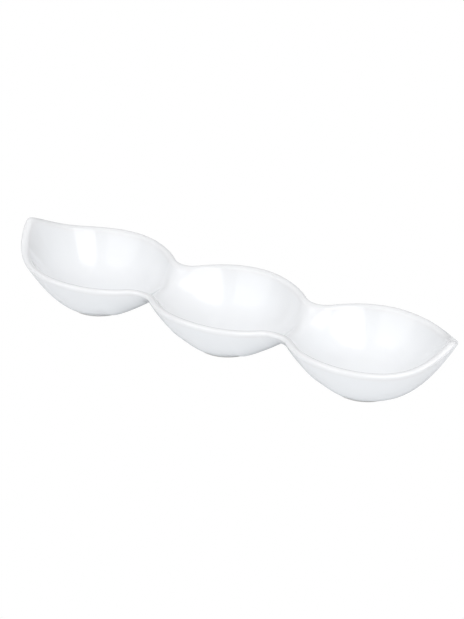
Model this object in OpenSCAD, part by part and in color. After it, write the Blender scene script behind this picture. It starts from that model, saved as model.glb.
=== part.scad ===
// Divided serving dish in glazed porcelain: three oval bowls in a row, joined at two narrow
// waists, with a rim that sweeps up to a rounded point at each end. Each bowl stands on a low
// foot ring. X runs along the dish, Y across it, and Z = 0 is the table under its middle.

/* [Outline] */
// Distance between the centres of neighbouring bowls
bowl_pitch = 120; // [112:1:128]
// Half of a bowl's width, inside the rim
bowl_half_w = 47; // [42:0.1:52]
// Radius of a bowl's side in plan, inside the rim
side_r = 67.1; // [64:0.1:80]
// Radius of the inward curve where two bowls meet, inside the rim
waist_r = 21.4; // [12:0.1:23]
// Radius of the rounded point at each end, inside the rim
tip_r = 4.1; // [3:0.1:10]

/* [Wall and rim] */
// Thickness of the wall, rounded over at the rim
wall = 5.3; // [3.5:0.1:6]
// How far the rim's outer edge lies below its inner edge
rim_roll = 1.5; // [0:0.1:3]
// Height of the rim's inner edge beside a bowl's centre
rim_h = 37.7; // [30:0.1:48]
// How far the rim dips at a waist
waist_dip = 2; // [0:0.1:6]
// How far the rim climbs at each end
tip_rise = 16.5; // [0:0.1:30]
// How late the rim climbs: higher keeps it level for longer
tip_rise_power = 6.3; // [3:0.1:8]

/* [Floor and saddles] */
// Radius of the flat floor inside a bowl
floor_r = 10; // [6:0.5:16]
// How far the flat floor and seat taper towards a waist
floor_reach = 48; // [40:1:56]
// Height of the saddle between two bowls, above their floors
saddle_h = 18; // [12:0.5:22]
// Width over which the saddle's top is rounded
saddle_w = 13; // [6:1:24]

/* [Foot rings] */
// Outer radius of a foot ring
foot_r = 25; // [18:0.5:28]
// Width of the ring's foot
foot_w = 3; // [2:0.5:5]
// Height of the ring
foot_h = 3; // [2:0.5:6]
// Radius of the cove between ring and bowl
cove_r = 1.5; // [0.5:0.1:1.8]
// Radius of the ring's lower edges
foot_edge_r = 0.6; // [0.2:0.1:0.9]

/* [Curves] */
// How sharply the inside turns up at a bowl's side
side_power = 2.9; // [2:0.1:3.4]
// How sharply the outside turns up at a bowl's side
outer_side_power = 1.5; // [1.3:0.1:2.2]
// How sharply the inside turns up towards an end
tip_power = 2.4; // [2:0.1:3]
// How sharply the outside turns up towards an end
outer_tip_power = 1.7; // [1.4:0.1:2]
// How sharply the inside turns up at a waist
waist_power = 2.8; // [2:0.1:3.4]
// How sharply the outside turns up at a waist
outer_waist_power = 2.8; // [2:0.1:3.4]
// How sharply the floor turns up to a saddle
saddle_power = 2; // [1.6:0.1:2.6]
// How sharply the underside turns up below a saddle
outer_saddle_power = 1.3; // [1.2:0.1:2]

/* [Fineness] */
// Steps across half of a section
half_steps = 12; // [8:1:16]
// Steps along half of a bowl
bowl_steps = 14; // [8:1:18]
// Steps round an end, from side to side
end_steps = 30; // [16:2:40]
// Steps over the rim
rim_steps = 6; // [4:1:8]

/* [Hidden] */

glaze_white = [0.93, 0.94, 0.95];
bare_white = [0.86, 0.84, 0.80];
// Facets of a full circle on a foot ring
ring_facets = 96;
// How much closer together the spokes of an end lie towards its point
spoke_bunching = 1.4;

half_pitch = bowl_pitch / 2;
full_steps = 2 * half_steps;
// How far a bowl's side arc is centred past the dish's centreline
arc_offset = side_r - bowl_half_w;
// Distance across from the centreline to the centre of a waist's inward curve
waist_y = sqrt(pow(side_r + waist_r, 2) - pow(half_pitch, 2)) - arc_offset;
// Width of the flat seat outside the foot ring's cove
seat_margin = 0.6;
// Radius of the flat underside that a foot ring seats on
seat_r = foot_r + cove_r + seat_margin;
// How far the rim's curve carries a face on, as a share of the wall: a half circle has 2/3
rim_reach_share = 2 / 3;
// Small step of the offset that slopes at the rim are measured over
nudge = wall / 16;
// Width cut off a cove's thin outer edge
cove_lip = 0.3;
// How far a cut runs past the face that it opens
overrun = 1;

// A smooth step from 0 to 1
function ease(u) = u * u * (3 - 2 * u);
function blend(a, b, t) = a + (b - a) * t;
function over_zero(v) = max(v, 0);

// Plan. The offset g is 0 on the inner face and wall on the outer face.

// Distance from a bowl's centre to its pointed end
function tip_x(g) = sqrt(pow(side_r + g, 2) - pow(arc_offset, 2));

// Half width of the dish at a distance dx from a bowl's centre, up to the waist
function half_y(dx, g) =
    dx <= half_pitch * (side_r + g) / (side_r + waist_r)
        ? sqrt(pow(side_r + g, 2) - dx * dx) - arc_offset
        : waist_y - sqrt(pow(waist_r - g, 2) - pow(half_pitch - dx, 2));

// Share of the arc's offset that rounds off the point of an end
function tip_share(g) = arc_offset / (pow(tip_x(g), 2) * (1 / (tip_r + g) - 1 / tip_x(g)));

// Distance from an end bowl's centre to its outline, at an angle from the end's direction
function end_radius(a, g) =
    let (rounding = tip_share(g) * pow(cos(a), 3))
    sqrt(pow(side_r + g, 2) - pow(arc_offset * cos(a), 2))
    - arc_offset * (sqrt(pow(sin(a), 2) + pow(rounding, 2)) - rounding);

// Heights

// Height of the floor inside and of the seat outside
function low_z(g) = foot_h + wall - g;
// Radius of the flat floor inside and of the flat seat outside
function flat_r(g) = blend(floor_r, seat_r, g / wall);
// Power of a curve between the inside's and the outside's
function turn(inner_power, outer_power, g) = blend(inner_power, outer_power, g / wall);

// How far the rim's outer edge lies below its inner edge
function roll(g) = rim_roll * g / wall;
// Height of the rim's inner edge between a bowl's centre and a waist
function side_rim_z(dx) = rim_h - waist_dip * ease(dx / half_pitch);
// Height of the rim's inner edge towards an end, carried across the rim
function end_rim_z(a, g) =
    let (along_share = end_radius(a, g) * cos(a) / tip_x(g))
    rim_h + tip_rise * pow(along_share, tip_rise_power);

// Climb of the centreline from a bowl's floor to a saddle, with the next bowl's climb blended in
function climb_power(g) = turn(saddle_power, outer_saddle_power, g);
function climb_span(g) = half_pitch - flat_r(g);
function climb_top(g) = saddle_h / (1 - saddle_w * climb_power(g) / (4 * climb_span(g)));
function climb_blend(g) = saddle_w * climb_power(g) * climb_top(g) / climb_span(g);
function climb(dx, g) =
    climb_top(g) * pow(over_zero(dx - flat_r(g)) / climb_span(g), climb_power(g));
function saddle_z(dx, g) =
    let (here = climb(dx, g),
         next = climb(bowl_pitch - dx, g),
         t = min(max((1 + (next - here) / climb_blend(g)) / 2, 0), 1))
    blend(next, here, t) - climb_blend(g) * t * (1 - t);

// Width of the flat, height of the low line and power of the curve in a section of a bowl's side
function side_flat(dx, g) = flat_r(g) * pow(cos(90 * min(dx / floor_reach, 1)), 2);
function side_low(dx, g) = low_z(g) + saddle_z(dx, g);
function side_turn(dx, g) =
    blend(turn(side_power, outer_side_power, g),
          turn(waist_power, outer_waist_power, g), ease(dx / half_pitch));
// Power of the curve along a spoke of an end
function end_turn(a, g) =
    blend(turn(side_power, outer_side_power, g), turn(tip_power, outer_tip_power, g), pow(cos(a), 2));

// Height of a face, s from 0 on the centreline to 1 at the rim
function side_z(dx, s, g) =
    let (w = half_y(dx, g),
         up_share = over_zero(s * w - side_flat(dx, g)) / (w - side_flat(dx, g)))
    blend(side_low(dx, g), side_rim_z(dx) - roll(g), pow(up_share, side_turn(dx, g)));
function end_z(a, s, g) =
    let (r = end_radius(a, g),
         up_share = over_zero(s * r - flat_r(g)) / (r - flat_r(g)))
    blend(low_z(g), end_rim_z(a, g) - roll(g), pow(up_share, end_turn(a, g)));

// Rim. Its curve carries on from both faces, so it needs their slopes where they end.

// Change of a length per step of the offset g, from its values a nudge before and after
function rate(before, after) = (after - before) / (2 * nudge);
// How far a face climbs at the rim for each step of the offset g
function side_slope(dx, g) =
    side_turn(dx, g) * (side_rim_z(dx) - roll(g) - side_low(dx, g))
    / (half_y(dx, g) - side_flat(dx, g))
    * rate(half_y(dx, g - nudge), half_y(dx, g + nudge));
function end_slope(a, g) =
    end_turn(a, g) * (end_rim_z(a, g) - roll(g) - low_z(g))
    / (end_radius(a, g) - flat_r(g))
    * rate(end_radius(a, g - nudge), end_radius(a, g + nudge))
    - rate(end_rim_z(a, g - nudge), end_rim_z(a, g + nudge));

function along(slope) = [1, slope] / norm([1, slope]);
function cubic(a, b, c, d, t) =
    pow(1 - t, 3) * a + 3 * t * pow(1 - t, 2) * b + 3 * t * t * (1 - t) * c + pow(t, 3) * d;
// Offset and height over the inner edge of point k of the rim's curve
function rim_point(inner_slope, outer_slope, k) =
    let (inner_edge = [0, 0],
         outer_edge = [wall, -rim_roll],
         reach = rim_reach_share * wall)
    cubic(inner_edge, inner_edge + reach * along(inner_slope),
          outer_edge + (reach + rim_roll) * along(outer_slope), outer_edge, k / rim_steps);

// Points

// Share of the way across a section, closer together towards the rim
function across_share(j) = sin(90 * j / half_steps);

function side_point(x, j, g) =
    [x, across_share(j) * half_y(abs(x), g), side_z(abs(x), abs(across_share(j)), g)];
function side_rim_point(x, side, k) =
    let (dx = abs(x),
         p = rim_point(side_slope(dx, 0), side_slope(dx, wall), k))
    [x, side * half_y(dx, p[0]), side_rim_z(dx) + p[1]];
function end_point(a, j, g) =
    let (r = across_share(j) * end_radius(a, g))
    [r * cos(a), r * sin(a), end_z(a, across_share(j), g)];
function end_rim_point(a, k) =
    let (p = rim_point(end_slope(a, 0), end_slope(a, wall), k),
         r = end_radius(a, p[0]))
    [r * cos(a), r * sin(a), end_rim_z(a, p[0]) + p[1]];

// One closed section across the dish: inner face, far rim, outer face, near rim
function section(x) = concat(
    [for (j = [-half_steps:half_steps]) side_point(x, j, 0)],
    [for (k = [1:rim_steps - 1]) side_rim_point(x, 1, k)],
    [for (j = [-half_steps:half_steps]) side_point(x, -j, wall)],
    [for (k = [1:rim_steps - 1]) side_rim_point(x, -1, rim_steps - k)]);
section_points = 2 * (full_steps + 1) + 2 * (rim_steps - 1);

// One spoke of an end bowl's outer half: inner face, rim, outer face
function spoke(a) = concat(
    [for (j = [1:half_steps]) end_point(a, j, 0)],
    [for (k = [1:rim_steps - 1]) end_rim_point(a, k)],
    [for (j = [1:half_steps]) end_point(a, half_steps + 1 - j, wall)]);
spoke_points = full_steps + rim_steps - 1;

// Faces

function around(first, j) = first + (j + section_points) % section_points;
// Two triangles over four corners
function two_triangles(a, b, c, d) = [[a, b, c], [a, c, d]];
function between_sections(a, b) = [for (j = [0:section_points - 1])
    each two_triangles(around(a, j), around(a, j + 1), around(b, j + 1), around(b, j))];

// The flat face that closes a section: strips between the two faces, and a fan over each rim
function outer_of(j) = 2 * full_steps + rim_steps - j;
function section_cap(first) = concat(
    [for (j = [0:full_steps - 1])
        [around(first, j), around(first, j + 1),
         around(first, outer_of(j + 1)), around(first, outer_of(j))]],
    [[for (k = [0:rim_steps]) around(first, full_steps + k)]],
    [[for (k = [0:rim_steps]) around(first, section_points - rim_steps + k)]]);
function turned(faces) = [for (f = faces) [for (k = [1:len(f)]) f[len(f) - k]]];

// Index of a spoke's point: the first and last spokes lie on the section at the bowl's centre
function spoke_point(first, i, c) =
    c == 0 ? around(first, half_steps)
    : i == end_steps || c == spoke_points + 1 ? around(first, half_steps + c)
    : i == 0 ? around(first, half_steps - c + section_points)
    : first + section_points + (i - 1) * spoke_points + c - 1;
function between_spokes(first, i) = concat(
    [[spoke_point(first, i, 0), spoke_point(first, i + 1, 1), spoke_point(first, i, 1)]],
    [for (c = [1:spoke_points - 1]) each two_triangles(
        spoke_point(first, i, c), spoke_point(first, i + 1, c),
        spoke_point(first, i + 1, c + 1), spoke_point(first, i, c + 1))],
    [[spoke_point(first, i, spoke_points), spoke_point(first, i + 1, spoke_points),
      spoke_point(first, i, spoke_points + 1)]]);

// Angle of a spoke from the end's direction, closer together towards the pointed end
function spoke_angle(i) =
    let (side_share = 2 * i / end_steps - 1)
    90 * sign(side_share) * pow(abs(side_share), spoke_bunching);

// Bowls

// The middle bowl reaches from one waist to the other
module middle_shell() {
    steps = 2 * bowl_steps;
    points = [for (k = [0:steps]) each section(half_pitch * (2 * k / steps - 1))];
    faces = concat(
        turned(section_cap(0)),
        [for (k = [0:steps - 1]) each between_sections(k * section_points, (k + 1) * section_points)],
        section_cap(steps * section_points));
    polyhedron(points, faces);
}

// An end bowl starts at its waist and closes round its pointed end
module end_shell() {
    last = bowl_steps * section_points;
    points = concat(
        [for (k = [0:bowl_steps]) each section(half_pitch * (k / bowl_steps - 1))],
        [for (i = [1:end_steps - 1]) each spoke(spoke_angle(i))]);
    faces = concat(
        turned(section_cap(0)),
        [for (k = [0:bowl_steps - 1]) each between_sections(k * section_points, (k + 1) * section_points)],
        [for (i = [0:end_steps - 1]) each between_spokes(last, i)]);
    translate([bowl_pitch, 0, 0]) polyhedron(points, faces);
}

module middle_bowl() { color(glaze_white) middle_shell(); }
module right_bowl() { color(glaze_white) end_shell(); }
module left_bowl() { color(glaze_white) mirror([1, 0, 0]) end_shell(); }

// Foot rings

// Half of a ring's section, outwards from the middle of its foot: a rounded lower edge and a cove
module foot_half_section() {
    half_foot = foot_w / 2;
    difference() {
        square([half_foot + cove_r - cove_lip, foot_h]);
        translate([half_foot, -overrun]) square([cove_r, foot_h - cove_r + overrun]);
        translate([half_foot + cove_r, foot_h - cove_r]) circle(r = cove_r, $fn = ring_facets);
        difference() {
            translate([half_foot - foot_edge_r, -overrun])
                square([foot_edge_r + overrun, foot_edge_r + overrun]);
            translate([half_foot - foot_edge_r, foot_edge_r])
                circle(r = foot_edge_r, $fn = ring_facets);
        }
    }
}

module foot_ring() {
    rotate_extrude($fn = ring_facets)
        translate([foot_r - foot_w / 2, 0]) {
            foot_half_section();
            mirror([1, 0]) foot_half_section();
        }
}

module left_foot() { color(bare_white) translate([-bowl_pitch, 0, 0]) foot_ring(); }
module middle_foot() { color(bare_white) foot_ring(); }
module right_foot() { color(bare_white) translate([bowl_pitch, 0, 0]) foot_ring(); }

left_bowl();
middle_bowl();
right_bowl();
left_foot();
middle_foot();
right_foot();
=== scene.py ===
import math
import bpy
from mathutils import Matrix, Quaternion, Vector


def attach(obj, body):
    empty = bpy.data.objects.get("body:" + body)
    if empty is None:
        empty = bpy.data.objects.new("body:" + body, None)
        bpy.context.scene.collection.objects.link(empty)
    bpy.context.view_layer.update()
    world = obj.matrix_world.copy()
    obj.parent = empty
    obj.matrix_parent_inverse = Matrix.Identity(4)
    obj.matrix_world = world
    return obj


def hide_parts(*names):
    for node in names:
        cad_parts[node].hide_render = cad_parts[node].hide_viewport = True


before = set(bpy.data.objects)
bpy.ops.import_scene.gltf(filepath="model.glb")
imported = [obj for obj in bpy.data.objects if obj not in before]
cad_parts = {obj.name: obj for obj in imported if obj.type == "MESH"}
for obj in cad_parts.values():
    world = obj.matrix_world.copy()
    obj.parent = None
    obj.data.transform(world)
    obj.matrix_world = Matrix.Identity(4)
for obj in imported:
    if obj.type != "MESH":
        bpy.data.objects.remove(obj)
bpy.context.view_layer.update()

print("frame loaded:", ", ".join(sorted(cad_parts)))


def directionTo(azimuth, elevation):
    # degrees: azimuth goes round from straight in front of the dish to its right, elevation up from level
    a, e = math.radians(azimuth), math.radians(elevation)
    return Vector((math.sin(a) * math.cos(e), -math.cos(a) * math.cos(e), math.sin(e)))


# Camera

cameraView = {
    "eye": (0.66074, -1.02273, 0.68142),
    "azimuth": 32.719,
    "elevation": 28.227,
    "lens": 106.18,
    "nearest": 0.01,
    "furthest": 50,
}


def addCamera():
    back = directionTo(cameraView["azimuth"], cameraView["elevation"])
    bpy.ops.object.camera_add(location=cameraView["eye"])
    camera = bpy.context.object
    camera.name = "camera"
    camera.rotation_euler = (-back).to_track_quat("-Z", "Y").to_euler()
    camera.data.lens = cameraView["lens"]
    camera.data.clip_start = cameraView["nearest"]
    camera.data.clip_end = cameraView["furthest"]
    bpy.context.scene.camera = camera


addCamera()
bpy.context.scene.view_settings.view_transform = "Standard"
print("camera placed")


# Helpers for the materials

def newMaterial(name):
    material = bpy.data.materials.new(name)
    material.use_nodes = True
    tree = material.node_tree
    tree.nodes.clear()
    return material, tree


def addNode(tree, kind, place, **settings):
    node = tree.nodes.new(kind)
    node.location = place
    for key, value in settings.items():
        setattr(node, key, value)
    return node


# Studio: a pale floor, a dome that is brighter above and to both sides, and two soft boxes

studio = {
    "floorSize": 60,
    "floorTone": (0.856, 0.861, 0.865, 1),
    "shown": 1.0,            # how bright the camera sees the floor and the dome
    "shownTone": (1, 1, 1, 1),
    "floorGlow": 0.066,      # light that the floor gives off by itself
    "floorGlowTone": (0.870, 0.937, 1.0, 1),
    "domeTone": (0.976, 0.980, 1.0, 1),
    "domeBase": 0.170,       # brightness all round
    "domeLobes": {           # direction, and brightness added there
        "top": ((0, 0, 1), 0.490),
        "front": ((0, -1, 0), 0.030),
        "left": ((-1, 0, 0), 0.095),
        "right": ((1, 0, 0), 0.187),
    },
    "softBoxAim": (0, 0, 0.03),
    "softBoxes": {           # degrees and metres, and lean tips the top to the left seen from the dish
        "left_soft_box": {
            "azimuth": -28.4, "elevation": 36.1, "lean": -11.8, "distance": 1.3,
            "width": 1.29, "height": 1.36, "narrowing": 0.41, "watts": 5.5,
        },
        "right_soft_box": {
            "azimuth": 45.3, "elevation": 50.4, "lean": 18.1, "distance": 1.447,
            "width": 1.15, "height": 2.04, "narrowing": 0.40, "watts": 15.2,
        },
    },
    "softBoxFade": (1.0, 0.6),    # fourth powers of the way out where the cloth is dark and evenly lit
}


def paleFloorMaterial():
    material, tree = newMaterial("pale_floor")
    diffuse = addNode(tree, "ShaderNodeBsdfDiffuse", (0, 0))
    diffuse.inputs["Color"].default_value = studio["floorTone"]
    shown = addNode(tree, "ShaderNodeEmission", (0, -150))
    shown.inputs["Color"].default_value = studio["shownTone"]
    shown.inputs["Strength"].default_value = studio["shown"]
    glow = addNode(tree, "ShaderNodeEmission", (0, 150))
    glow.inputs["Color"].default_value = studio["floorGlowTone"]
    glow.inputs["Strength"].default_value = studio["floorGlow"]
    lit = addNode(tree, "ShaderNodeAddShader", (100, 100))
    lightPath = addNode(tree, "ShaderNodeLightPath", (0, 350))
    geometry = addNode(tree, "ShaderNodeNewGeometry", (200, 350))
    under = addNode(tree, "ShaderNodeBsdfTransparent", (200, -150))
    front = addNode(tree, "ShaderNodeMixShader", (200, 50))
    both = addNode(tree, "ShaderNodeMixShader", (400, 50))
    output = addNode(tree, "ShaderNodeOutputMaterial", (600, 50))
    tree.links.new(lightPath.outputs["Is Camera Ray"], front.inputs["Fac"])
    tree.links.new(diffuse.outputs[0], lit.inputs[0])
    tree.links.new(glow.outputs[0], lit.inputs[1])
    tree.links.new(lit.outputs[0], front.inputs[1])
    tree.links.new(shown.outputs[0], front.inputs[2])
    tree.links.new(geometry.outputs["Backfacing"], both.inputs["Fac"])
    tree.links.new(front.outputs[0], both.inputs[1])
    tree.links.new(under.outputs[0], both.inputs[2])
    tree.links.new(both.outputs[0], output.inputs["Surface"])
    return material


def domeWorld():
    world = bpy.data.worlds.new("dome")
    world.use_nodes = True
    tree = world.node_tree
    sky = tree.nodes["Background"]
    sky.inputs["Color"].default_value = studio["domeTone"]
    seen = addNode(tree, "ShaderNodeBackground", (0, -200))
    seen.inputs["Color"].default_value = studio["shownTone"]
    seen.inputs["Strength"].default_value = studio["shown"]
    lightPath = addNode(tree, "ShaderNodeLightPath", (0, 300))
    either = addNode(tree, "ShaderNodeMixShader", (200, 0))
    direction = addNode(tree, "ShaderNodeTexCoord", (-1000, 0))
    total = None
    for row, (name, (axis, strength)) in enumerate(studio["domeLobes"].items()):
        towards = addNode(tree, "ShaderNodeVectorMath", (-800, -200 * row), operation="DOT_PRODUCT")
        towards.inputs[1].default_value = axis
        lit = addNode(tree, "ShaderNodeMath", (-600, -200 * row), operation="MAXIMUM", label=name)
        lit.inputs[1].default_value = 0
        added = addNode(tree, "ShaderNodeMath", (-400 + 150 * row, -200 * row), operation="MULTIPLY_ADD")
        added.inputs[1].default_value = strength
        added.inputs[2].default_value = studio["domeBase"]
        tree.links.new(direction.outputs["Generated"], towards.inputs[0])
        tree.links.new(towards.outputs["Value"], lit.inputs[0])
        tree.links.new(lit.outputs[0], added.inputs[0])
        if total:
            tree.links.new(total.outputs[0], added.inputs[2])
        total = added
    tree.links.new(total.outputs[0], sky.inputs["Strength"])
    tree.links.new(lightPath.outputs["Is Camera Ray"], either.inputs["Fac"])
    tree.links.new(sky.outputs[0], either.inputs[1])
    tree.links.new(seen.outputs[0], either.inputs[2])
    tree.links.new(either.outputs[0], tree.nodes["World Output"].inputs["Surface"])
    return world


def softenEdges(light, narrowing):
    # the cloth is evenly lit inside a rounded frame that narrows towards its top, and fades at its edges
    light.use_nodes = True
    tree = light.node_tree
    geometry = addNode(tree, "ShaderNodeNewGeometry", (-1800, 0))
    # places on the cloth run from 0 to 1, and from here on from -1 to 1
    centred = addNode(tree, "ShaderNodeVectorMath", (-1600, 0), operation="MULTIPLY_ADD")
    centred.inputs[1].default_value = (2, 2, 0)
    centred.inputs[2].default_value = (-1, -1, 0)
    corners = addNode(tree, "ShaderNodeSeparateXYZ", (-1400, 0))
    narrowed = addNode(tree, "ShaderNodeMath", (-1200, -150), operation="MULTIPLY_ADD")
    narrowed.inputs[1].default_value = -narrowing / 2
    narrowed.inputs[2].default_value = 1 - narrowing / 2
    across = addNode(tree, "ShaderNodeMath", (-1000, 0), operation="DIVIDE")
    shaped = addNode(tree, "ShaderNodeCombineXYZ", (-900, 0))
    # the ways out across and up, each to the fourth power and added, make a frame with round corners
    squared = addNode(tree, "ShaderNodeVectorMath", (-800, 0), operation="MULTIPLY")
    rounded = addNode(tree, "ShaderNodeVectorMath", (-600, 0), operation="DOT_PRODUCT")
    fade = addNode(tree, "ShaderNodeMapRange", (-400, 0), interpolation_type="SMOOTHSTEP")
    fade.inputs["From Min"].default_value, fade.inputs["From Max"].default_value = studio["softBoxFade"]
    link = tree.links.new
    link(geometry.outputs["Parametric"], centred.inputs[0])
    link(centred.outputs[0], corners.inputs[0])
    link(corners.outputs["Y"], narrowed.inputs[0])
    link(corners.outputs["X"], across.inputs[0])
    link(narrowed.outputs[0], across.inputs[1])
    link(across.outputs[0], shaped.inputs["X"])
    link(corners.outputs["Y"], shaped.inputs["Y"])
    link(shaped.outputs[0], squared.inputs[0])
    link(shaped.outputs[0], squared.inputs[1])
    link(squared.outputs[0], rounded.inputs[0])
    link(squared.outputs[0], rounded.inputs[1])
    link(rounded.outputs["Value"], fade.inputs["Value"])
    link(fade.outputs["Result"], tree.nodes["Emission"].inputs["Strength"])


def addStudio():
    bpy.ops.mesh.primitive_plane_add(size=studio["floorSize"], location=(0, 0, 0))
    floor = bpy.context.object
    floor.name = "floor"
    floor.data.materials.append(paleFloorMaterial())

    bpy.context.scene.world = domeWorld()
    aim = Vector(studio["softBoxAim"])
    for name, plan in studio["softBoxes"].items():
        out = directionTo(plan["azimuth"], plan["elevation"])
        bpy.ops.object.light_add(type="AREA", location=aim + out * plan["distance"])
        box = bpy.context.object
        box.name = name
        upright = out.to_track_quat("Z", "Y")
        leaned = upright @ Quaternion((0, 0, 1), -math.radians(plan["lean"]))
        box.rotation_euler = leaned.to_euler()
        box.data.shape = "RECTANGLE"
        box.data.size = plan["width"]
        box.data.size_y = plan["height"]
        box.data.energy = plan["watts"]
        softenEdges(box.data, plan["narrowing"])
        box.visible_camera = False


addStudio()
print("studio lit")


# The dish's shape, shared by its three bowls

dish = {
    "pitch": 0.120,            # between neighbouring bowls' centres
    "halfWidth": 0.0470,       # inside the rim, at a bowl's centre
    "sideRadius": 0.0671,      # plan radius of a bowl's side
    "waistRadius": 0.0214,     # plan radius of the inward curve between bowls
    "tipRadius": 0.0041,       # of the rounded point at each end
    "wall": 0.0053,
    "rimHeight": 0.0377,       # of its inner edge
    "rimRoll": 0.0015,         # how far its outer edge lies below that
    "rimReach": 0.65,          # how far its curve carries a face on, in walls: just under the CAD bowls'
    "slopeStep": 1 / 16,       # share of the wall, to either side, over which its slopes are measured
    "waistDip": 0.0020,        # of the rim
    "tipRise": 0.0165,         # of the rim
    "tipRisePower": 6.3,       # how late it rises
    "floorRadius": 0.010,      # of the flat floor inside
    "seatRadius": 0.0271,      # of the flat seat outside
    "floorReach": 0.048,       # where the flat floor has tapered away
    "saddleHeight": 0.018,     # above the floors
    "saddleWidth": 0.013,      # of its rounded top
    "footHeight": 0.003,
    "powers": {                # how sharply the inside and the outside turn up
        "side": (2.9, 1.5),
        "tip": (2.4, 1.7),
        "waist": (2.8, 2.8),
        "saddle": (2.0, 1.3),
    },
}

halfPitch = dish["pitch"] / 2
arcOffset = dish["sideRadius"] - dish["halfWidth"]
waistCentre = math.sqrt((dish["sideRadius"] + dish["waistRadius"]) ** 2 - halfPitch ** 2) - arcOffset


def mix(a, b, t):
    return a + (b - a) * t


def ease(u):
    return u * u * (3 - 2 * u)


def turnPower(name, depth):
    # depth runs from 0 on the inner face to 1 on the outer face
    inner, outer = dish["powers"][name]
    return mix(inner, outer, depth)


# Plan: the half width beside a bowl's centre, and the reach of an end's outline

def halfWidth(along, depth):
    g = depth * dish["wall"]
    side, waist = dish["sideRadius"] + g, dish["waistRadius"] - g
    if along <= halfPitch * side / (side + waist):
        return math.sqrt(side ** 2 - along ** 2) - arcOffset
    return waistCentre - math.sqrt(waist ** 2 - (halfPitch - along) ** 2)


def tipReach(depth):
    side = dish["sideRadius"] + depth * dish["wall"]
    return math.sqrt(side ** 2 - arcOffset ** 2)


def endReach(angle, depth):
    g = depth * dish["wall"]
    reach, ahead = tipReach(depth), math.cos(angle)
    rounding = arcOffset / (reach ** 2 * (1 / (dish["tipRadius"] + g) - 1 / reach)) * ahead ** 3
    return (math.sqrt((dish["sideRadius"] + g) ** 2 - (arcOffset * ahead) ** 2)
            - arcOffset * (math.hypot(math.sin(angle), rounding) - rounding))


# Heights

def floorHeight(depth):
    return dish["footHeight"] + dish["wall"] * (1 - depth)


def flatRadius(depth):
    return mix(dish["floorRadius"], dish["seatRadius"], depth)


def sideRimHeight(along):
    return dish["rimHeight"] - dish["waistDip"] * ease(along / halfPitch)


def endRimHeight(angle, depth):
    share = endReach(angle, depth) * math.cos(angle) / tipReach(depth)
    return dish["rimHeight"] + dish["tipRise"] * share ** dish["tipRisePower"]


def saddleClimb(along, depth):
    # each floor climbs to the waist, and the two climbs are blended over the saddle's width
    power = turnPower("saddle", depth)
    span = halfPitch - flatRadius(depth)
    top = dish["saddleHeight"] / (1 - dish["saddleWidth"] * power / (4 * span))
    soft = dish["saddleWidth"] * power * top / span

    def climb(distance):
        return top * (max(distance - flatRadius(depth), 0) / span) ** power

    here, beyond = climb(along), climb(dish["pitch"] - along)
    t = min(max((1 + (beyond - here) / soft) / 2, 0), 1)
    return mix(beyond, here, t) - soft * t * (1 - t)


def sideFlat(along, depth):
    return flatRadius(depth) * math.cos(math.pi / 2 * min(along / dish["floorReach"], 1)) ** 2


def sideLow(along, depth):
    return floorHeight(depth) + saddleClimb(along, depth)


def sidePower(along, depth):
    return mix(turnPower("side", depth), turnPower("waist", depth), ease(along / halfPitch))


def endPower(angle, depth):
    return mix(turnPower("side", depth), turnPower("tip", depth), math.cos(angle) ** 2)


def sideHeight(along, share, depth):
    width, flat = halfWidth(along, depth), sideFlat(along, depth)
    up = max(share * width - flat, 0) / (width - flat)
    rim = sideRimHeight(along) - dish["rimRoll"] * depth
    return mix(sideLow(along, depth), rim, up ** sidePower(along, depth))


def endHeight(angle, share, depth):
    reach, flat = endReach(angle, depth), flatRadius(depth)
    up = max(share * reach - flat, 0) / (reach - flat)
    rim = endRimHeight(angle, depth) - dish["rimRoll"] * depth
    return mix(floorHeight(depth), rim, up ** endPower(angle, depth))


# Rim: a curve over the wall's edge that carries both faces on without a break

def growth(measure, depth):
    # how fast a measure of the outline grows through the wall
    step = dish["slopeStep"]
    return (measure(depth + step) - measure(depth - step)) / (2 * step * dish["wall"])


def sideSlope(along, depth):
    rise = sideRimHeight(along) - dish["rimRoll"] * depth - sideLow(along, depth)
    climb = sidePower(along, depth) * rise / (halfWidth(along, depth) - sideFlat(along, depth))
    return climb * growth(lambda d: halfWidth(along, d), depth)


def endSlope(angle, depth):
    rise = endRimHeight(angle, depth) - dish["rimRoll"] * depth - floorHeight(depth)
    climb = endPower(angle, depth) * rise / (endReach(angle, depth) - flatRadius(depth))
    return (climb * growth(lambda d: endReach(angle, d), depth)
            - growth(lambda d: endRimHeight(angle, d), depth))


def overRim(innerSlope, outerSlope, t):
    # depth in the wall, and height over the inner edge
    pull = dish["rimReach"] * dish["wall"]
    inner, outer = Vector((0, 0)), Vector((dish["wall"], -dish["rimRoll"]))
    first = inner + pull * Vector((1, innerSlope)).normalized()
    last = outer + (pull + dish["rimRoll"]) * Vector((1, outerSlope)).normalized()
    back = 1 - t
    place = back ** 3 * inner + 3 * t * back ** 2 * first + 3 * t ** 2 * back * last + t ** 3 * outer
    return place.x / dish["wall"], place.y


# Shells: a blank's top is pressed into the hollow, and its bottom into the underside

shell = {
    "blankRadius": 0.05,
    "acrossHalf": 44,        # steps from the middle of a face to the rim
    "rimBunching": 0.85,     # how much closer they lie towards the rim
    "overRim": 18,           # steps over the rim
    "rimFade": 90,           # how fast the thin glaze and painted shade over the rim give way below it
    "alongHalf": 64,         # sections from a waist to a bowl's centre
    "waistBunching": 0.5,    # how much closer the sections lie towards a waist
    "roundEnd": 128,         # steps round an end
    "tipBunching": 1.4,      # how much closer they lie towards the point
    "seamEdge": 0.00005,     # width of the last faces at a waist, which keeps the shading even across it
    "weld": 0.00001,         # corners closer than this become one
    "smoothBelow": 50,       # degrees
}
aroundBlank = 4 * shell["acrossHalf"] + 2 * shell["overRim"]


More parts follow.
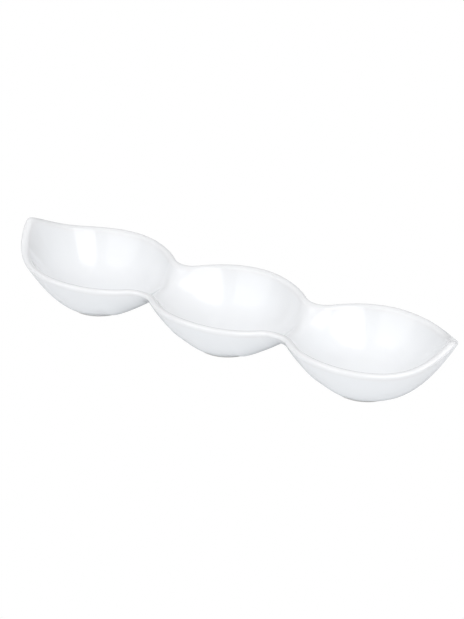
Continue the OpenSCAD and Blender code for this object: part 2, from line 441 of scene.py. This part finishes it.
def faceOf(count):
    # the count runs from the middle of the inner face over the rim to the middle of the outer face
    across, over = shell["acrossHalf"], shell["overRim"]
    if across < count < across + over:
        return "rim", (count - across) / over
    evenly = min(count, 2 * across + over - count) / across
    share = mix(evenly, math.sin(math.pi / 2 * evenly), shell["rimBunching"])
    return ("inner" if count <= across else "outer"), share


def sidePoint(x, side, count):
    face, share = faceOf(count)
    evenly = abs(x) / halfPitch
    along = halfPitch * mix(evenly, math.sin(math.pi / 2 * evenly), shell["waistBunching"])
    if face == "rim":
        depth, height = overRim(sideSlope(along, 0), sideSlope(along, 1), share)
        across, height = halfWidth(along, depth), height + sideRimHeight(along)
    else:
        depth = 0 if face == "inner" else 1
        across, height = share * halfWidth(along, depth), sideHeight(along, share, depth)
    return Vector((math.copysign(along, x), side * across, height))


def endPoint(evenAngle, count):
    face, share = faceOf(count)
    turn = evenAngle / (math.pi / 2)
    angle = math.pi / 2 * math.copysign(abs(turn) ** shell["tipBunching"], turn)
    if face == "rim":
        depth, height = overRim(endSlope(angle, 0), endSlope(angle, 1), share)
        reach, height = endReach(angle, depth), height + endRimHeight(angle, depth)
    else:
        depth = 0 if face == "inner" else 1
        reach, height = share * endReach(angle, depth), endHeight(angle, share, depth)
    return Vector((reach * math.cos(angle), reach * math.sin(angle), height))


def nearRim(count):
    # 1 on the rim's crest, falling away over the uppermost part of both faces; it darkens the glaze
    # there, partly as thin glaze and partly as painted shade that dims the crest's highlight
    face, share = faceOf(count)
    return 1 if face == "rim" else share ** shell["rimFade"]


def deselectAll():
    bpy.ops.object.select_all(action="DESELECT")


def pickOnly(piece):
    deselectAll()
    bpy.context.view_layer.objects.active = piece
    piece.select_set(True)


def openForEditing(piece):
    pickOnly(piece)
    bpy.ops.object.mode_set(mode="EDIT")
    bpy.ops.mesh.select_all(action="DESELECT")


def selectWhere(piece, kind, wanted):
    # picks edges or faces by place: wanted gets the corners of each one
    bpy.ops.mesh.select_all(action="DESELECT")
    bpy.ops.mesh.select_mode(type=kind)
    bpy.ops.object.mode_set(mode="OBJECT")
    mesh = piece.data
    for part in {"EDGE": mesh.edges, "FACE": mesh.polygons}[kind]:
        part.select = wanted([mesh.vertices[v].co for v in part.vertices])
    bpy.ops.object.mode_set(mode="EDIT")


def makeBlank(name, startX, endX):
    deselectAll()
    bpy.ops.mesh.primitive_cylinder_add(
        vertices=aroundBlank, radius=shell["blankRadius"], depth=endX - startX,
        location=((startX + endX) / 2, 0, 0), rotation=(0, math.pi / 2, 0))
    blank = bpy.context.object
    blank.name = name
    blank.data.name = name
    bpy.ops.object.transform_apply(location=True, rotation=True, scale=True)
    openForEditing(blank)
    # it is cut into half pitches first, and then each of these into its sections
    for cuts in (round((endX - startX) / halfPitch) - 1, shell["alongHalf"] - 1):
        selectWhere(blank, "EDGE", lambda ends: abs(ends[0].x - ends[1].x) > shell["seamEdge"])
        if cuts:
            bpy.ops.mesh.subdivide(number_cuts=cuts)
    # an end that isn't at the bowl's centre is at a waist, and gets a narrow last row of faces
    for x in (startX, endX):
        if x != 0:
            seam = x - math.copysign(shell["seamEdge"], x)
            bpy.ops.mesh.select_all(action="SELECT")
            bpy.ops.mesh.bisect(plane_co=(seam, 0, 0), plane_no=(1, 0, 0))
    return blank


def roundTheEnd(blank):
    # the flat end over the bowl's centre is opened, and half of its edge is spun into a round one
    centred = shell["seamEdge"]
    selectWhere(blank, "FACE", lambda ends: all(abs(p.x) < centred for p in ends))
    bpy.ops.mesh.delete(type="ONLY_FACE")
    selectWhere(blank, "EDGE", lambda ends: all(abs(p.x) < centred and p.y > -centred for p in ends))
    bpy.ops.mesh.spin(steps=shell["roundEnd"], angle=math.pi, center=(0, 0, 0), axis=(0, 0, 1))
    bpy.ops.mesh.select_all(action="SELECT")
    bpy.ops.mesh.remove_doubles(threshold=shell["weld"])


def pressToShape(blank, hasRoundEnd):
    bpy.ops.object.mode_set(mode="OBJECT")
    rimward = blank.data.attributes.new("nearRim", "FLOAT", "POINT")
    for vertex in blank.data.vertices:
        x, y, z = vertex.co
        fromTop = math.acos(max(-1, min(1, z / shell["blankRadius"])))
        count = round(fromTop / (2 * math.pi / aroundBlank))
        rimward.data[vertex.index].value = nearRim(count)
        if hasRoundEnd and x > shell["seamEdge"]:
            vertex.co = endPoint(math.atan2(y, x), count)
        else:
            vertex.co = sidePoint(x, math.copysign(1, y), count)


def finishShell(piece):
    openForEditing(piece)
    bpy.ops.mesh.select_all(action="SELECT")
    bpy.ops.mesh.normals_make_consistent(inside=False)
    bpy.ops.object.mode_set(mode="OBJECT")
    bpy.ops.object.shade_smooth_by_angle(angle=math.radians(shell["smoothBelow"]))


def moveAlong(piece, x):
    pickOnly(piece)
    bpy.ops.transform.translate(value=(x, 0, 0))
    bpy.ops.object.transform_apply(location=True, rotation=True, scale=True)


def makeMiddleShell():
    piece = makeBlank("middle_shell", -halfPitch, halfPitch)
    pressToShape(piece, hasRoundEnd=False)
    finishShell(piece)
    return piece


def makeRightShell():
    piece = makeBlank("right_shell", -halfPitch, 0)
    roundTheEnd(piece)
    pressToShape(piece, hasRoundEnd=True)
    finishShell(piece)
    moveAlong(piece, dish["pitch"])
    return piece


def makeLeftShell(right):
    # a mirrored copy of the right one
    pickOnly(right)
    bpy.ops.object.duplicate()
    piece = bpy.context.object
    piece.name = "left_shell"
    piece.data.name = "left_shell"
    bpy.ops.transform.resize(value=(-1, 1, 1), center_override=(0, 0, 0))
    bpy.ops.object.transform_apply(location=True, rotation=True, scale=True)
    finishShell(piece)
    return piece


middleShell = makeMiddleShell()
print("middle bowl pressed:", len(middleShell.data.polygons), "faces")
rightShell = makeRightShell()
leftShell = makeLeftShell(rightShell)
print("end bowls pressed:", len(rightShell.data.polygons), "faces each")


# Glaze and bare clay, with every scale counted to the metre

glaze = {
    "thin": (0.900, 0.905, 0.910, 1),      # over the rim, where a little of the clay shows through, and darkened there as painted shade that dims the crest's highlight
    "thick": (0.932, 0.950, 0.966, 1),     # where it has pooled
    "cloudScale": 22,                      # of the slow changes in thickness
    "cloudDetail": 3,
    "peelScale": 700,                      # of the fine ripple
    "peelDetail": 1,
    "peelHeight": 0.000004,
    "smooth": 0.04,                        # roughness where it is smoothest and where it is dullest
    "dull": 0.08,
    "refraction": 1.5,
    "coat": 0.1,                           # a last clear layer
    "coatRough": 0.03,
}

bareClay = {
    "pale": (0.83, 0.81, 0.77, 1),
    "dark": (0.70, 0.68, 0.64, 1),
    "grainScale": 2600,
    "grainDetail": 6,
    "grainHeight": 0.00003,
    "glazeLine": 0.0009,       # greatest height to which the ring's foot is wiped bare
    "glazeLineStray": 0.0004,  # how far the line wanders down from there
    "strayScale": 180,
    "rough": 0.85,
}


def glazeGroup():
    # thickness, tone, gloss and ripple of a fired white glaze, with painted shade darkening the tone over
    # the rim
    group = bpy.data.node_groups.new("fired_glaze", "ShaderNodeTree")
    face = group.interface
    for name, kind in (("Place", "NodeSocketVector"), ("Rim", "NodeSocketFloat")):
        face.new_socket(name, in_out="INPUT", socket_type=kind)
    for name, kind in (("Colour", "NodeSocketColor"), ("Roughness", "NodeSocketFloat"),
                       ("Height", "NodeSocketFloat")):
        face.new_socket(name, in_out="OUTPUT", socket_type=kind)
    given = addNode(group, "NodeGroupInput", (-800, 0))
    made = addNode(group, "NodeGroupOutput", (600, 0))
    clouds = addNode(group, "ShaderNodeTexNoise", (-550, 200))
    clouds.inputs["Scale"].default_value = glaze["cloudScale"]
    clouds.inputs["Detail"].default_value = glaze["cloudDetail"]
    # the rim mask takes away thickness, so the rim gets the darker tone: partly real thin glaze, partly
    # painted shade
    thickness = addNode(group, "ShaderNodeMath", (-300, 200), operation="SUBTRACT", use_clamp=True)
    tone = addNode(group, "ShaderNodeMix", (-50, 200), data_type="RGBA")
    tone.inputs["A"].default_value = glaze["thin"]
    tone.inputs["B"].default_value = glaze["thick"]
    gloss = addNode(group, "ShaderNodeMapRange", (-50, -50))
    gloss.inputs["To Min"].default_value = glaze["smooth"]
    gloss.inputs["To Max"].default_value = glaze["dull"]
    peel = addNode(group, "ShaderNodeTexNoise", (-550, -250))
    peel.inputs["Scale"].default_value = glaze["peelScale"]
    peel.inputs["Detail"].default_value = glaze["peelDetail"]
    link = group.links.new
    link(given.outputs["Place"], clouds.inputs["Vector"])
    link(given.outputs["Place"], peel.inputs["Vector"])
    link(clouds.outputs["Fac"], thickness.inputs[0])
    link(given.outputs["Rim"], thickness.inputs[1])
    link(thickness.outputs[0], tone.inputs["Factor"])
    link(clouds.outputs["Fac"], gloss.inputs["Value"])
    link(tone.outputs["Result"], made.inputs["Colour"])
    link(gloss.outputs["Result"], made.inputs["Roughness"])
    link(peel.outputs["Fac"], made.inputs["Height"])
    return group


firedGlaze = glazeGroup()


def glazedPorcelain():
    material, tree = newMaterial("glazed_porcelain")
    coordinates = addNode(tree, "ShaderNodeTexCoord", (-900, 0))
    # nearRim darkens the glaze over the rim, partly as painted shade that dims its highlight
    rim = addNode(tree, "ShaderNodeAttribute", (-900, -250), attribute_name="nearRim")
    surface = addNode(tree, "ShaderNodeGroup", (-600, 0), node_tree=firedGlaze)
    bump = addNode(tree, "ShaderNodeBump", (-300, -250))
    bump.inputs["Distance"].default_value = glaze["peelHeight"]
    shader = addNode(tree, "ShaderNodeBsdfPrincipled", (0, 0))
    shader.inputs["IOR"].default_value = glaze["refraction"]
    shader.inputs["Coat Weight"].default_value = glaze["coat"]
    shader.inputs["Coat Roughness"].default_value = glaze["coatRough"]
    output = addNode(tree, "ShaderNodeOutputMaterial", (300, 0))
    link = tree.links.new
    link(coordinates.outputs["Object"], surface.inputs["Place"])
    link(rim.outputs["Fac"], surface.inputs["Rim"])
    link(surface.outputs["Height"], bump.inputs["Height"])
    link(surface.outputs["Colour"], shader.inputs["Base Color"])
    link(surface.outputs["Roughness"], shader.inputs["Roughness"])
    link(bump.outputs["Normal"], shader.inputs["Normal"])
    link(shader.outputs[0], output.inputs["Surface"])
    return material


def wipedFoot():
    # the ring is glazed down to a wavering line, and bare clay below it
    material, tree = newMaterial("wiped_foot")
    coordinates = addNode(tree, "ShaderNodeTexCoord", (-1300, 0))
    surface = addNode(tree, "ShaderNodeGroup", (-900, 250), node_tree=firedGlaze)
    parts = addNode(tree, "ShaderNodeSeparateXYZ", (-1100, -100))
    stray = addNode(tree, "ShaderNodeTexNoise", (-1100, -300))
    stray.inputs["Scale"].default_value = bareClay["strayScale"]
    wander = addNode(tree, "ShaderNodeMath", (-900, -200), operation="MULTIPLY_ADD")
    wander.inputs[1].default_value = -bareClay["glazeLineStray"]
    line = addNode(tree, "ShaderNodeMapRange", (-700, -200))
    line.inputs["From Min"].default_value = bareClay["glazeLine"] - bareClay["glazeLineStray"]
    line.inputs["From Max"].default_value = bareClay["glazeLine"] - bareClay["glazeLineStray"] / 2
    grain = addNode(tree, "ShaderNodeTexNoise", (-900, -500))
    grain.inputs["Scale"].default_value = bareClay["grainScale"]
    grain.inputs["Detail"].default_value = bareClay["grainDetail"]
    clay = addNode(tree, "ShaderNodeMix", (-650, -500), data_type="RGBA")
    clay.inputs["A"].default_value = bareClay["pale"]
    clay.inputs["B"].default_value = bareClay["dark"]
    colour = addNode(tree, "ShaderNodeMix", (-350, 100), data_type="RGBA")
    rough = addNode(tree, "ShaderNodeMix", (-350, -100), data_type="FLOAT")
    rough.inputs["A"].default_value = bareClay["rough"]
    height = addNode(tree, "ShaderNodeMix", (-350, -300), data_type="FLOAT")
    bump = addNode(tree, "ShaderNodeBump", (-150, -300))
    bump.inputs["Distance"].default_value = bareClay["grainHeight"]
    shader = addNode(tree, "ShaderNodeBsdfPrincipled", (100, 0))
    output = addNode(tree, "ShaderNodeOutputMaterial", (400, 0))
    link = tree.links.new
    link(coordinates.outputs["Object"], surface.inputs["Place"])
    link(coordinates.outputs["Object"], parts.inputs[0])
    link(coordinates.outputs["Object"], stray.inputs["Vector"])
    link(coordinates.outputs["Object"], grain.inputs["Vector"])
    link(stray.outputs["Fac"], wander.inputs[0])
    link(parts.outputs["Z"], wander.inputs[2])
    link(wander.outputs[0], line.inputs["Value"])
    link(grain.outputs["Fac"], clay.inputs["Factor"])
    for chooser in (colour, rough, height):    # A is the bare clay, and B is the glaze
        link(line.outputs["Result"], chooser.inputs["Factor"])
    link(clay.outputs["Result"], colour.inputs["A"])
    link(surface.outputs["Colour"], colour.inputs["B"])
    link(surface.outputs["Roughness"], rough.inputs["B"])
    link(grain.outputs["Fac"], height.inputs["A"])
    link(height.outputs["Result"], bump.inputs["Height"])
    link(colour.outputs["Result"], shader.inputs["Base Color"])
    link(rough.outputs["Result"], shader.inputs["Roughness"])
    link(bump.outputs["Normal"], shader.inputs["Normal"])
    link(shader.outputs[0], output.inputs["Surface"])
    return material


porcelain = glazedPorcelain()
for piece, node in ((leftShell, "left_bowl"), (middleShell, "middle_bowl"), (rightShell, "right_bowl")):
    piece.data.materials.clear()
    piece.data.materials.append(porcelain)
    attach(piece, "root")
    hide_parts(node)

footFinish = wipedFoot()
for name in ("left_foot", "middle_foot", "right_foot"):
    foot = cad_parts[name]
    foot.data.materials.clear()
    foot.data.materials.append(footFinish)
print("finishes on")
